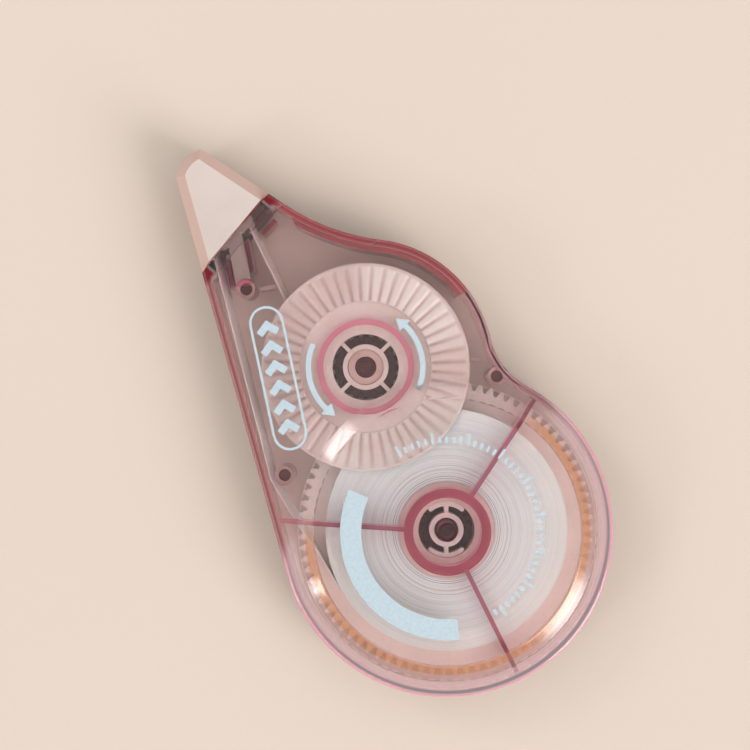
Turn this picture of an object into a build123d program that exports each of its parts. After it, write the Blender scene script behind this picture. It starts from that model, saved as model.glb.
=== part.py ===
from build123d import *
from math import acos, atan, atan2, cos, degrees, pi, radians, sin, sqrt, tan
import os

# Correction tape roller: a clear two-shell case, a slide-off cap over an applicator head, and two
# geared reels with the tape between them. Millimetres. The roller lies on its back: +Z is towards
# the front cover, +Y runs from the supply reel to the take-up reel, and the origin is the point
# where the supply reel's axis meets the back face.

# ---- Outline of the case and cap, seen from the front ----
axis_spacing = 37.5
base_radius = 34.0
lobe_radius = 26.3
side_angle = 79.3
side_length = 85.0
nose_angle = 22.3
nose_width = 7.8
nose_bulge = 1.0
slope_angle = -60.0
shoulder_radius = 45.0
waist_radius = 15.0

# ---- Where the cap meets the case ----
mate_point = Vector(-21.7, 69.5)
mate_angle = 23.6
neck_length = 8.0
shoulder_thickness = 2.2

# ---- Heights and walls ----
wall = 1.5
skin = 1.2
parting = 6.5
deck = 12.2
plateau_height = 1.8
plateau_foot_radius = 30.5
plateau_top_radius = 27.5
plateau_slope = atan2(plateau_height, plateau_foot_radius - plateau_top_radius)
slope_inset = skin * tan(plateau_slope / 2)
lip_thickness = 0.7
lip_height = 1.0
fit = 0.05
edge_round = 0.8
floor_root = skin / 2
reach_far = 150.0
height_slack = 0.01
mate_slack = 0.2

# ---- Neck and cap ----
neck_inset = 1.6
neck_wall = 1.0
neck_low = 1.4
neck_high = 10.8
cap_inset = 1.5
cap_low = 1.3
cap_high = 10.9
cap_bevel = 2.1
cap_back_bevel = 0.8
cap_mouth_bevel = 0.35
cap_profile = [
    (0, cap_back_bevel, fit),
    (cap_back_bevel, 0, fit),
    (deck - cap_bevel, 0, fit),
    (deck, cap_bevel, fit + cap_mouth_bevel),
]

# ---- Bosses that snap the two shells together ----
boss_points = [Vector(-14.9, 62.8), Vector(-24.8, 25.0), Vector(23.4, 23.8)]
boss_radius = 2.0
boss_pin_radius = 1.2
boss_height = 8.5
boss_depth = 4.0

# ---- Axle posts and the tubes that meet them from the front cover ----
post_radius = 2.42
take_up_post_radius = 2.12
post_height = 6.9
spigot_radius = 1.15
spigot_height = 9.5
tube_outer_radius = 2.0
tube_inner_radius = 1.25
seat_radius = 4.2
seat_height = 1.65

# ---- Stiffening ribs, rings and channel walls ----
rib_angles = [30, 150, 270]
rib_thickness = 0.9
rib_low = 9.6
rib_reach = 36.0
skirt_angles = [30, 270]
skirt_low = 4.3
skirt_start = 25.6
hub_ring_inner = 7.0
hub_ring_outer = 8.9
hub_ring_low = 9.2
take_up_ring_inner = 8.7
take_up_ring_outer = 9.9
take_up_ring_low = 10.35
short_ribs = [((-7.0, 71.8), (-3.2, 73.2)), ((-12.4, 61.8), (-8.6, 60.8)), ((20.1, 29.3), (21.9, 28.7))]
channel_ribs = [((-17.3, 64.2), (-15.3, 71.2)), ((-12.1, 65.4), (-10.2, 72.3))]
channel_thickness = 0.8
tongue_inset = 1.6
tongue_thickness = 0.9
tongue_height = 10.6
tongue_end = Vector(25.9, 42.2)

# ---- Gears ----
gear_module = 0.75
gear_dedendum = 1.25 * gear_module
pressure_angle = 20.0
backlash = 0.12
supply_teeth = 80
take_up_teeth = 20
gear_low = 1.7
gear_high = 3.7
gear_web_low = 2.6
gear_rim_radius = 26.5
gear_hub_radius = 6.2
gear_spokes = 8
flank_steps = 4

# ---- Supply reel ----
gear_bore_radius = 2.5
gear_tube_radius = 3.55
gear_tube_high = 8.6
clutch_inner_radius = 4.85
clutch_outer_radius = 5.72
clutch_half_angle = 38.0
clutch_angle = 63.6
clutch_high = 8.2
clutch_spoke = 0.9
core_bore_radius = 5.8
core_radius = 9.95
core_low = 3.8
core_high = 8.95
roll_radius = 25.0
tape_low = 3.9
tape_high = 8.9

# ---- Take-up reel ----
pinion_bore_radius = 2.2
pinion_tube_radius = 3.6
pinion_tube_high = 9.0
flange_bore_radius = 3.65
flange_hub_radius = 4.7
flange_hub_high = 9.9
flange_spoke = 0.8
flange_spoke_low = 8.4
flange_spoke_angle = 18.6
drum_inner_radius = 6.8
drum_radius = 7.4
flange_low = 9.3
flange_high = 10.1
flange_radius = 21.4
winding_radius = 7.7

# ---- Tape run and applicator head ----
tape_thickness = 0.16
tape_gap = 0.05
head_tip = Vector(-12.9, 88.0)
head_tip_radius = 0.5
head_shoulder_radius = 1.0
head_shoulder_height = 75.6
head_root = Vector(-15.0, 73.2)
head_root_radius = 0.6
head_low = 3.8
head_high = 9.0
guard_thickness = 0.6
guard_overhang = 0.7
guard_setback = 3.0
stem_bottom = Vector(-14.8, 64.2)
stem_top = Vector(-12.0, 74.4)
stem_width = 3.2
stem_clearance = 0.2

supply_centre = Vector(0, 0)
take_up_centre = Vector(0, axis_spacing)


def heading(angle):
    """Unit vector at an angle from +X, in degrees."""
    return Vector(cos(radians(angle)), sin(radians(angle)))


def angle_of(vector):
    """Angle of a vector from +X, in degrees."""
    return degrees(atan2(vector.Y, vector.X))


def draw_arc(centre, start, end):
    """The shorter arc about a centre, from a start point to an end point."""
    middle = ((start - centre).normalized() + (end - centre).normalized()).normalized()
    return ThreePointArc(start, centre + middle * (start - centre).length, end)


def shoulder_centre(corner, direction, outward):
    """Centre of the hollow arc that leaves the sloping edge and meets the take-up lobe."""
    start = corner + outward * shoulder_radius - take_up_centre
    along = start.dot(direction)
    reach = lobe_radius + shoulder_radius
    travel = -along - sqrt(along**2 - start.dot(start) + reach**2)
    return take_up_centre + start + direction * travel


def waist_centre():
    """Centre of the hollow arc between the take-up lobe and the round base."""
    base_reach = base_radius + waist_radius
    lobe_reach = lobe_radius + waist_radius
    y = (base_reach**2 - lobe_reach**2 + axis_spacing**2) / (2 * axis_spacing)
    return Vector(sqrt(base_reach**2 - y**2), y)


side = heading(side_angle)
side_out = heading(side_angle + 90)
side_start = side_out * base_radius
nose_left = side_start + side * side_length
nose_right = nose_left + heading(nose_angle) * nose_width
nose_middle = (nose_left + nose_right) * 0.5 + heading(nose_angle + 90) * nose_bulge
slope = heading(slope_angle)
slope_out = heading(slope_angle + 90)
shoulder = shoulder_centre(nose_right, slope, slope_out)
slope_end = shoulder - slope_out * shoulder_radius
lobe_start = take_up_centre + (shoulder - take_up_centre).normalized() * lobe_radius
waist = waist_centre()
lobe_end = take_up_centre + (waist - take_up_centre).normalized() * lobe_radius
base_start = waist.normalized() * base_radius

with BuildSketch() as outline:
    with BuildLine():
        Line(side_start, nose_left)
        ThreePointArc(nose_left, nose_middle, nose_right)
        Line(nose_right, slope_end)
        draw_arc(shoulder, slope_end, lobe_start)
        draw_arc(take_up_centre, lobe_start, lobe_end)
        draw_arc(waist, lobe_end, base_start)
        ThreePointArc(base_start, Vector(0, -base_radius), side_start)
    make_face()


def band_face(inset, low, high):
    """The outline moved in by inset, kept between two lines parallel to the cap's mating line."""
    with BuildSketch() as face:
        add(outline.sketch)
        if inset:
            offset(amount=-inset, kind=Kind.INTERSECTION)
        with Locations(Location((mate_point.X, mate_point.Y, 0), (0, 0, mate_angle))):
            with Locations((0, (low + high) / 2)):
                Rectangle(reach_far, high - low, mode=Mode.INTERSECT)
    return face.sketch


def case_face(inset, end=0.0):
    """The case's share of the outline, moved in by inset."""
    return band_face(inset, -reach_far, end)


def bar(start, end, thickness, mode=Mode.ADD):
    """A straight bar between two points in the current sketch."""
    start, end = Vector(*start), Vector(*end)
    middle = (start + end) * 0.5
    with Locations(Location((middle.X, middle.Y, 0), (0, 0, angle_of(end - start)))):
        Rectangle((end - start).length, thickness, mode=mode)


def radial_bars(angles, low, high, thickness, mode=Mode.ADD):
    """Bars that point away from the supply axis, between two radii, in the current sketch."""
    for angle in angles:
        bar(heading(angle) * low, heading(angle) * high, thickness, mode)


def ring(inner, outer, centre=supply_centre):
    """A flat ring in the current sketch."""
    with Locations(centre):
        Circle(outer)
        Circle(inner, mode=Mode.SUBTRACT)


def involute(base, radius):
    """Angle in radians that an involute gains between its base circle and a radius."""
    roll = sqrt(max(radius / base, 1.0) ** 2 - 1)
    return roll - atan(roll)


def gear_outline(teeth, phase):
    """Points round a spur gear with involute flanks; phase turns its first tooth, in degrees."""
    pitch_radius = gear_module * teeth / 2
    base = pitch_radius * cos(radians(pressure_angle))
    tip = pitch_radius + gear_module
    root = pitch_radius - gear_dedendum
    half_tooth = (pi * gear_module / 2 - backlash) / (2 * pitch_radius) + involute(base, pitch_radius)
    foot = max(base, root)
    flank = [foot + (tip - foot) * step / flank_steps for step in range(flank_steps + 1)]
    if base > root:
        flank.insert(0, root)
    points = []
    for tooth in range(teeth):
        centre = radians(phase) + 2 * pi * tooth / teeth
        rising = [(radius, centre - half_tooth + involute(base, radius)) for radius in flank]
        falling = [(radius, centre + half_tooth - involute(base, radius)) for radius in reversed(flank)]
        points += [(radius * cos(angle), radius * sin(angle)) for radius, angle in rising + falling]
    return points


def gear_face(teeth, phase, centre=supply_centre):
    """A spur gear's outline as a filled face."""
    with BuildSketch() as face:
        with BuildLine():
            Polyline(*[Vector(x, y) + centre for x, y in gear_outline(teeth, phase)], close=True)
        make_face()
    return face.sketch


def case_edges(solid, height):
    """Edges of a shell at a height, without the one on the cap's mating line."""
    mate_out = heading(mate_angle + 90)
    edges = solid.edges().filter_by_position(Axis.Z, height - height_slack, height + height_slack)
    return edges.filter_by(lambda edge: abs((edge.center() - mate_point).dot(mate_out)) > mate_slack)


# ---- Back cover: floor, lower wall, axle posts, bosses and the tongue along the right wall ----
with BuildPart() as back_cover:
    with BuildSketch():
        add(case_face(0))
    extrude(amount=parting)
    fillet(case_edges(back_cover, 0), edge_round)
    with BuildSketch(Plane.XY.offset(neck_low)):
        add(band_face(neck_inset, -neck_wall, neck_length))
    extrude(amount=parting - neck_low)
    with BuildSketch(Plane.XY.offset(skin)):
        add(case_face(wall, -shoulder_thickness))
    extrude(amount=parting, mode=Mode.SUBTRACT)
    with BuildSketch(Plane.XY.offset(neck_low + neck_wall)):
        add(band_face(neck_inset + neck_wall, -shoulder_thickness - fit, neck_length))
    extrude(amount=parting, mode=Mode.SUBTRACT)
    with BuildSketch(Plane.XY.offset(parting - lip_height)):
        add(case_face(wall - lip_thickness, -shoulder_thickness - fit))
        add(case_face(wall, -shoulder_thickness - fit), mode=Mode.SUBTRACT)
    extrude(amount=2 * lip_height)
    with BuildSketch(Plane.XY.offset(floor_root)) as tongue_sketch:
        add(case_face(tongue_inset, -shoulder_thickness - fit))
        add(case_face(tongue_inset + tongue_thickness, 0), mode=Mode.SUBTRACT)
        with Locations(Location((tongue_end.X, tongue_end.Y, 0))):
            Rectangle(tongue_end.X, reach_far, align=(Align.MAX, Align.MIN), mode=Mode.INTERSECT)
    extrude(amount=tongue_height - floor_root)
    with BuildSketch(Plane.XY.offset(floor_root)):
        with Locations(boss_points):
            Circle(boss_radius)
        add(case_face(wall + fit), mode=Mode.INTERSECT)
    extrude(amount=boss_height - floor_root)
    with BuildSketch(Plane.XY.offset(boss_height)):
        with Locations(boss_points):
            Circle(boss_pin_radius + fit)
    extrude(amount=-boss_depth, mode=Mode.SUBTRACT)
    with BuildSketch(Plane.XY.offset(floor_root)):
        with Locations(supply_centre, take_up_centre):
            Circle(seat_radius)
    extrude(amount=seat_height - floor_root)
    for centre, radius in ((supply_centre, post_radius), (take_up_centre, take_up_post_radius)):
        with BuildSketch(Plane.XY.offset(floor_root)):
            with Locations(centre):
                Circle(radius)
        extrude(amount=post_height - floor_root)
    with BuildSketch(Plane.XY.offset(floor_root)):
        with Locations(supply_centre, take_up_centre):
            Circle(spigot_radius)
    extrude(amount=spigot_height - floor_root)
    with BuildSketch(Plane.XY.offset(floor_root)):
        for start, end in short_ribs:
            bar(start, end, rib_thickness)
        for start, end in channel_ribs:
            bar(start, end, channel_thickness)
    extrude(amount=parting - fit - floor_root)
back_cover.part.label = "back_cover"

# ---- Front cover: the hollow inside it is made first, less the ribs, rings and tubes left standing ----
with BuildPart() as front_space:
    with BuildSketch(Plane.XY.offset(parting)):
        add(case_face(wall, -shoulder_thickness))
    extrude(amount=deck - skin - parting)
    with Locations((0, 0, deck - skin)):
        Cone(
            plateau_foot_radius - slope_inset,
            plateau_top_radius - slope_inset,
            plateau_height,
            align=(Align.CENTER, Align.CENTER, Align.MIN),
        )
    with BuildSketch(Plane.XY.offset(rib_low)):
        radial_bars(rib_angles, hub_ring_inner + fit, rib_reach, rib_thickness)
    extrude(amount=deck, mode=Mode.SUBTRACT)
    with BuildSketch(Plane.XY.offset(hub_ring_low)):
        ring(hub_ring_inner, hub_ring_outer)
    extrude(amount=deck, mode=Mode.SUBTRACT)
    with BuildSketch(Plane.XY.offset(take_up_ring_low)):
        ring(take_up_ring_inner, take_up_ring_outer, take_up_centre)
    extrude(amount=deck, mode=Mode.SUBTRACT)
    with BuildSketch(Plane.XY.offset(post_height + fit)):
        for centre in (supply_centre, take_up_centre):
            ring(tube_inner_radius, tube_outer_radius, centre)
    extrude(amount=deck, mode=Mode.SUBTRACT)
    with BuildSketch(Plane.XY.offset(boss_height + fit)):
        with Locations(boss_points):
            Circle(boss_radius)
    extrude(amount=deck, mode=Mode.SUBTRACT)
    with BuildSketch(Plane.XY.offset(parting)):
        for start, end in channel_ribs:
            bar(start, end, channel_thickness)
    extrude(amount=deck, mode=Mode.SUBTRACT)

with BuildPart() as front_cover:
    with BuildSketch(Plane.XY.offset(parting)):
        add(case_face(0))
    extrude(amount=deck - parting)
    fillet(case_edges(front_cover, deck), edge_round)
    with Locations((0, 0, deck)):
        Cone(
            plateau_foot_radius,
            plateau_top_radius,
            plateau_height,
            align=(Align.CENTER, Align.CENTER, Align.MIN),
        )
    fillet(front_cover.edges().group_by(Axis.Z)[-1], edge_round)
    with BuildSketch(Plane.XY.offset(parting)):
        add(band_face(neck_inset, -neck_wall, neck_length))
    extrude(amount=neck_high - parting)
    add(front_space.part, mode=Mode.SUBTRACT)
    with BuildSketch(Plane.XY.offset(parting)):
        add(band_face(neck_inset + neck_wall, -shoulder_thickness - fit, neck_length))
    extrude(amount=neck_high - neck_wall - parting, mode=Mode.SUBTRACT)
    with BuildSketch(Plane.XY.offset(parting)):
        add(case_face(wall - lip_thickness - fit, fit - shoulder_thickness))
        add(case_face(wall + fit, fit - shoulder_thickness), mode=Mode.SUBTRACT)
    extrude(amount=lip_height + fit, mode=Mode.SUBTRACT)
    with BuildSketch(Plane.XY.offset(skirt_low)):
        radial_bars(skirt_angles, skirt_start, rib_reach, rib_thickness)
        add(case_face(wall + fit), mode=Mode.INTERSECT)
    extrude(amount=deck - skin - skirt_low)
    with BuildSketch(Plane.XY.offset(boss_height - boss_depth + fit)):
        with Locations(boss_points):
            Circle(boss_pin_radius)
    extrude(amount=boss_depth)
front_cover.part.label = "front_cover"

# ---- Tip cap: a bevelled sleeve, open at the mating line, that slides off the neck ----
with BuildPart() as tip_cap:
    for height, inset, start in cap_profile:
        with BuildSketch(Plane.XY.offset(height)):
            add(band_face(inset, start, reach_far))
    loft(ruled=True)
    with BuildSketch(Plane.XY.offset(cap_low)):
        add(band_face(cap_inset, 0, reach_far))
    extrude(amount=cap_high - cap_low, mode=Mode.SUBTRACT)
tip_cap.part.label = "tip_cap"

# ---- Supply gear: toothed plate, bearing tube and two sprung clutch arms ----
with BuildPart() as supply_gear:
    with BuildSketch(Plane.XY.offset(gear_low)):
        add(gear_face(supply_teeth, 0))
    extrude(amount=gear_high - gear_low)
    with BuildSketch(Plane.XY.offset(gear_low)):
        ring(gear_hub_radius, gear_rim_radius)
        spoke_angles = [360 * spoke / gear_spokes for spoke in range(gear_spokes)]
        radial_bars(spoke_angles, gear_tube_radius, gear_rim_radius + fit, rib_thickness, Mode.SUBTRACT)
    extrude(amount=gear_web_low - gear_low, mode=Mode.SUBTRACT)
    with BuildSketch(Plane.XY.offset(gear_low)):
        Circle(gear_tube_radius)
    extrude(amount=gear_tube_high - gear_low)
    with BuildSketch(Plane.XY.offset(gear_web_low)):
        for angle in (clutch_angle, clutch_angle + 180):
            arm = CenterArc(
                (0, 0),
                (clutch_inner_radius + clutch_outer_radius) / 2,
                angle - clutch_half_angle,
                2 * clutch_half_angle,
            )
            SlotArc(arm, clutch_outer_radius - clutch_inner_radius)
            bar(heading(angle) * gear_bore_radius, heading(angle) * clutch_inner_radius, clutch_spoke)
    extrude(amount=clutch_high - gear_web_low)
    with BuildSketch(Plane.XY.offset(gear_low)):
        Circle(gear_bore_radius)
    extrude(amount=gear_tube_high, mode=Mode.SUBTRACT)
supply_gear.part.label = "supply_gear"

# ---- Supply reel: core sleeve and the roll of coated tape wound on it ----
with BuildPart() as tape_core:
    with BuildSketch(Plane.XY.offset(core_low)):
        ring(core_bore_radius, core_radius)
    extrude(amount=core_high - core_low)
tape_core.part.label = "tape_core"

with BuildPart() as tape_roll:
    with BuildSketch(Plane.XY.offset(tape_low)):
        ring(core_radius + fit, roll_radius)
    extrude(amount=tape_high - tape_low)
tape_roll.part.label = "tape_roll"

# ---- Take-up reel: pinion with its tube, the drum with its wide flange, and the first winding ----
with BuildPart() as take_up_pinion:
    with BuildSketch(Plane.XY.offset(gear_low)):
        add(gear_face(take_up_teeth, 180 / take_up_teeth, take_up_centre))
    extrude(amount=gear_high - gear_low)
    with BuildSketch(Plane.XY.offset(gear_low)):
        with Locations(take_up_centre):
            Circle(pinion_tube_radius)
    extrude(amount=pinion_tube_high - gear_low)
    with BuildSketch(Plane.XY.offset(gear_low)):
        with Locations(take_up_centre):
            Circle(pinion_bore_radius)
    extrude(amount=pinion_tube_high, mode=Mode.SUBTRACT)
take_up_pinion.part.label = "take_up_pinion"

with BuildPart() as take_up_flange:
    with BuildSketch(Plane.XY.offset(gear_high + fit)):
        ring(flange_bore_radius, flange_hub_radius, take_up_centre)
    extrude(amount=flange_hub_high - gear_high - fit)
    with BuildSketch(Plane.XY.offset(gear_high + fit)):
        ring(drum_inner_radius, drum_radius, take_up_centre)
    extrude(amount=flange_high - gear_high - fit)
    with BuildSketch(Plane.XY.offset(flange_low)):
        ring(drum_inner_radius, flange_radius, take_up_centre)
    extrude(amount=flange_high - flange_low)
    with BuildSketch(Plane.XY.offset(flange_spoke_low)):
        for quarter in range(4):
            out = heading(flange_spoke_angle + 90 * quarter)
            bar(
                take_up_centre + out * (flange_hub_radius - fit),
                take_up_centre + out * (drum_inner_radius + fit),
                flange_spoke,
            )
    extrude(amount=flange_hub_high - flange_spoke_low)
take_up_flange.part.label = "take_up_flange"

with BuildPart() as take_up_winding:
    with BuildSketch(Plane.XY.offset(tape_low)):
        ring(drum_radius + fit, winding_radius, take_up_centre)
    extrude(amount=tape_high - tape_low)
take_up_winding.part.label = "take_up_winding"

# ---- Tape run: supply roll, guide boss, head tip, head shoulder, take-up drum ----
run_gap = tape_gap + tape_thickness / 2
return_x = -(winding_radius + run_gap)
head_shoulder = Vector(return_x - head_shoulder_radius - run_gap, head_shoulder_height)
guide_boss = boss_points[1]


def run_normal(start_centre, start_radius, end_centre, end_radius):
    """Outward direction of the straight run past two circles that both lie on its right."""
    line = end_centre - start_centre
    return heading(angle_of(line) + degrees(acos((start_radius - end_radius) / line.length)))


roll_normal = run_normal(supply_centre, roll_radius, guide_boss, boss_radius)
feed_normal = run_normal(guide_boss, boss_radius, head_tip, head_tip_radius)
return_normal = run_normal(head_tip, head_tip_radius, head_shoulder, head_shoulder_radius)
boss_run = boss_radius + run_gap
tip_run = head_tip_radius + run_gap
shoulder_run = head_shoulder_radius + run_gap
feed_end_angle = angle_of(return_normal) + degrees(tape_gap / head_tip_radius)

with BuildPart() as feed_tape:
    with BuildSketch(Plane.XY.offset(tape_low)):
        with BuildLine() as feed_path:
            roll_start = roll_normal * (roll_radius + run_gap)
            Line(roll_start, guide_boss + roll_normal * boss_run)
            draw_arc(guide_boss, guide_boss + roll_normal * boss_run, guide_boss + feed_normal * boss_run)
            Line(guide_boss + feed_normal * boss_run, head_tip + feed_normal * tip_run)
            feed_end = head_tip + heading(feed_end_angle) * tip_run
            draw_arc(head_tip, head_tip + feed_normal * tip_run, feed_end)
        trace(feed_path.line, tape_thickness)
    extrude(amount=tape_high - tape_low)
feed_tape.part.label = "feed_tape"

with BuildPart() as return_tape:
    with BuildSketch(Plane.XY.offset(tape_low)):
        with BuildLine() as return_path:
            Line(head_tip + return_normal * tip_run, head_shoulder + return_normal * shoulder_run)
            draw_arc(
                head_shoulder,
                head_shoulder + return_normal * shoulder_run,
                head_shoulder + Vector(shoulder_run, 0),
            )
            Line(head_shoulder + Vector(shoulder_run, 0), Vector(return_x, axis_spacing))
        trace(return_path.line, tape_thickness)
    extrude(amount=tape_high - tape_low)
return_tape.part.label = "return_tape"

# ---- Applicator head: wedge between two guards, on a stem held in the case's channel ----
with BuildSketch() as wedge:
    with Locations(head_tip):
        Circle(head_tip_radius)
    with Locations(head_shoulder):
        Circle(head_shoulder_radius)
    with Locations(head_root):
        Circle(head_root_radius)
    make_hull()

with BuildSketch() as guard:
    with Locations(head_tip - side * guard_setback):
        Circle(head_tip_radius + guard_overhang)
    with Locations(head_shoulder):
        Circle(head_shoulder_radius + guard_overhang)
    with Locations(head_root):
        Circle(head_root_radius + guard_overhang)
    make_hull()

with BuildPart() as applicator_head:
    with BuildSketch(Plane.XY.offset(head_low)):
        add(wedge.sketch)
    extrude(amount=head_high - head_low)
    for low in (head_low - guard_thickness, head_high):
        with BuildSketch(Plane.XY.offset(low)):
            add(guard.sketch)
        extrude(amount=guard_thickness)
    with BuildSketch(Plane.XY.offset(neck_low + neck_wall + 2 * fit)):
        bar(stem_bottom, stem_top, stem_width)
        with Locations(boss_points[0]):
            Circle(boss_radius + stem_clearance, mode=Mode.SUBTRACT)
    extrude(amount=neck_high - neck_low - 2 * neck_wall - 4 * fit)
applicator_head.part.label = "applicator_head"

os.makedirs("parts", exist_ok=True)
export_step(back_cover.part, "parts/back_cover.step")
export_step(front_cover.part, "parts/front_cover.step")
export_step(tip_cap.part, "parts/tip_cap.step")
export_step(applicator_head.part, "parts/applicator_head.step")
export_step(supply_gear.part, "parts/supply_gear.step")
export_step(tape_core.part, "parts/tape_core.step")
export_step(tape_roll.part, "parts/tape_roll.step")
export_step(take_up_pinion.part, "parts/take_up_pinion.step")
export_step(take_up_flange.part, "parts/take_up_flange.step")
export_step(take_up_winding.part, "parts/take_up_winding.step")
export_step(feed_tape.part, "parts/feed_tape.step")
export_step(return_tape.part, "parts/return_tape.step")
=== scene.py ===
import math
import random

import bmesh
import bpy
from mathutils import Matrix, Vector


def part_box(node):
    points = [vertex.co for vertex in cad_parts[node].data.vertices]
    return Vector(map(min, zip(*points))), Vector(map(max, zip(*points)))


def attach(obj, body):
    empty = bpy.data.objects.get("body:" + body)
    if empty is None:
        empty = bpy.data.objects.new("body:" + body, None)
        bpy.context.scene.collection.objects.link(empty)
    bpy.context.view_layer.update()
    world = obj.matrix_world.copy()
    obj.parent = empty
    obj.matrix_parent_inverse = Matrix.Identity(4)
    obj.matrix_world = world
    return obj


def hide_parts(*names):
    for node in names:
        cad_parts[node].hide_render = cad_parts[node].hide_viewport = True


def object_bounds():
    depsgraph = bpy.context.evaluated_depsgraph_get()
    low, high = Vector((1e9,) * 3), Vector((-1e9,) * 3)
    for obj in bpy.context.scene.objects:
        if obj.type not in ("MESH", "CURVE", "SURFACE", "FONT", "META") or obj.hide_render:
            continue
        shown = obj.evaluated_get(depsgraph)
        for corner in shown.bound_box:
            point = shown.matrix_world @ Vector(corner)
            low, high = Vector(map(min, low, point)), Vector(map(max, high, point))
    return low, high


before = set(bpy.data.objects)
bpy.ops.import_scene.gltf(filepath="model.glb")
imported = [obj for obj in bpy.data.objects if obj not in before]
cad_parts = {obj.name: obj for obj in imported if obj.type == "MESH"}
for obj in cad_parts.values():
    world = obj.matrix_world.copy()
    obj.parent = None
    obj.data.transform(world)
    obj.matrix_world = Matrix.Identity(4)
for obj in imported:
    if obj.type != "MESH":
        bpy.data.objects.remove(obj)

# The looks of a correction tape roller: clear pink case, opaque cap, fluted take-up reel and a wound
# roll of white tape, on a plain pale floor. Everything is in metres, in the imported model's frame: +Z
# is out of the front cover, +Y towards the tip, and the origin is on the supply reel's axis.

MM = 0.001
cad_low, cad_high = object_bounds()

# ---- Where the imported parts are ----


def middle(node):
    """Centre of a node's box."""
    low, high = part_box(node)
    return (low + high) / 2


def half_width(node):
    """Half of a node's size along X, which is the radius of a round node."""
    low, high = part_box(node)
    return (high.x - low.x) / 2


supply_axis = middle("tape_roll")
take_up_axis = middle("take_up_flange")
deck_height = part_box("tip_cap")[1].z
plateau_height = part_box("front_cover")[1].z
wall = 1.5 * MM
face_blur = 0.1 * MM
parting_low = 6.2 * MM
parting_high = 7.7 * MM
supply_inside_radius = 32.3 * MM
lobe_inside_radius = 24.0 * MM
inside_blur = 0.5 * MM
window_start_radius = 27.7 * MM
window_full_radius = 27.1 * MM
slope_end_y = 17.0 * MM
slope_full_y = 9.0 * MM
ring_end_y = 16.0 * MM
ring_full_y = 8.0 * MM
slope_band_start = 27.3 * MM
slope_band_end = 29.1 * MM
slope_band_blur = 0.3 * MM
band_start_radius = 30.4 * MM
band_full_radius = 31.2 * MM
rim_start_radius = 33.0 * MM
rim_full_radius = 33.4 * MM
raised_start = deck_height - 0.9 * MM
raised_full = deck_height - 0.7 * MM
floor_face_low = 0.9 * MM
floor_face_high = 1.8 * MM

# ---- The case's outline, piece by piece ----

side_start = Vector((-33.41, 6.31, 0)) * MM
side_inwards = Vector((0.983, -0.186, 0))
slope_start = Vector((-10.41, 92.79, 0)) * MM
slope_inwards = Vector((-0.866, -0.5, 0))
shoulder_centre = Vector((39.0, 97.2, 0)) * MM
shoulder_radius = 45.0 * MM
shoulder_low = 59.5 * MM
shoulder_high = 74.7 * MM
lobe_radius = 26.3 * MM
lobe_wall_left = 9.0 * MM
left_wall_end_y = 8.0 * MM
left_wall_full_y = 14.0 * MM
wall_reach = 0.3 * MM
wall_blur = 0.15 * MM

# ---- The neck, the head's channel and the tongue ----

neck_middle = Vector((-11.8, 73.8, 0)) * MM
neck_turn = math.radians(23.6)
tip_direction = Vector((-math.sin(neck_turn), math.cos(neck_turn), 0))
neck_direction = Vector((math.cos(neck_turn), math.sin(neck_turn), 0))
channel_centre = Vector((-13.7, 68.5, 0)) * MM
corner_start = -3.2 * MM
corner_full = -1.6 * MM
corner_inner = 8.2 * MM
corner_outer = 9.2 * MM
neck_end_start = -2.3 * MM
neck_end_full = -2.6 * MM
channel_reach = 5.2 * MM
channel_low = 2.0 * MM
rib_high = 10.7 * MM
rib_low = 9.0 * MM
skirt_low = 4.1 * MM
skirt_high = 4.5 * MM
tongue_end_height = 42.2 * MM
tongue_left = -8.5 * MM
tongue_from_take_up = 22.5 * MM
tongue_blur = 0.5 * MM
tongue_top = 10.2 * MM
boss_top_low = 8.3 * MM
boss_top_high = 8.7 * MM
post_radius = 2.5 * MM

# ---- The fluted take-up reel ----

flange_rim = half_width("take_up_flange")
flute_count = 48
flute_steps = 14
disc_steps = 22
flute_start = 13.4 * MM
flute_depth = 0.42 * MM
flute_sharpness = 2.2
flute_run_out = 0.5 * MM
flute_blur = 0.3 * MM
rim_width = 0.45 * MM
disc_thickness = 0.5 * MM
disc_step = 0.35 * MM
disc_edge_ease = 0.12 * MM
disc_rim_ease = 0.18 * MM
corner_ease = 0.1 * MM
step_foot_height = 0.05 * MM
step_foot_run = 0.08 * MM
drum_inner_radius = 6.8 * MM
drum_outer_radius = 7.4 * MM
core_bore_radius = 5.8 * MM
well_start = 7.6 * MM
well_full = 3.5 * MM
hub_inner_radius = 3.65 * MM
hub_outer_radius = 4.7 * MM
hub_drop = 0.2 * MM
spoke_count = 4
spoke_width = 0.8 * MM
spoke_depth = 1.5 * MM
spoke_drop = 0.05 * MM
spoke_overlap = 0.1 * MM
spoke_angle = math.radians(18.6)
gaps_faint_radius = 19.5 * MM
gaps_full_radius = 10.5 * MM
# Where the painted sheen of the window lies on the flutes' ridges.
sheen_angle = math.radians(28.0)
sheen_half_angle = math.radians(28.0)
sheen_end_angle = math.radians(48.0)

# ---- Looks of the clear plastic by zone: a tint, and how clear it is from 0 to 1 ----

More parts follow.
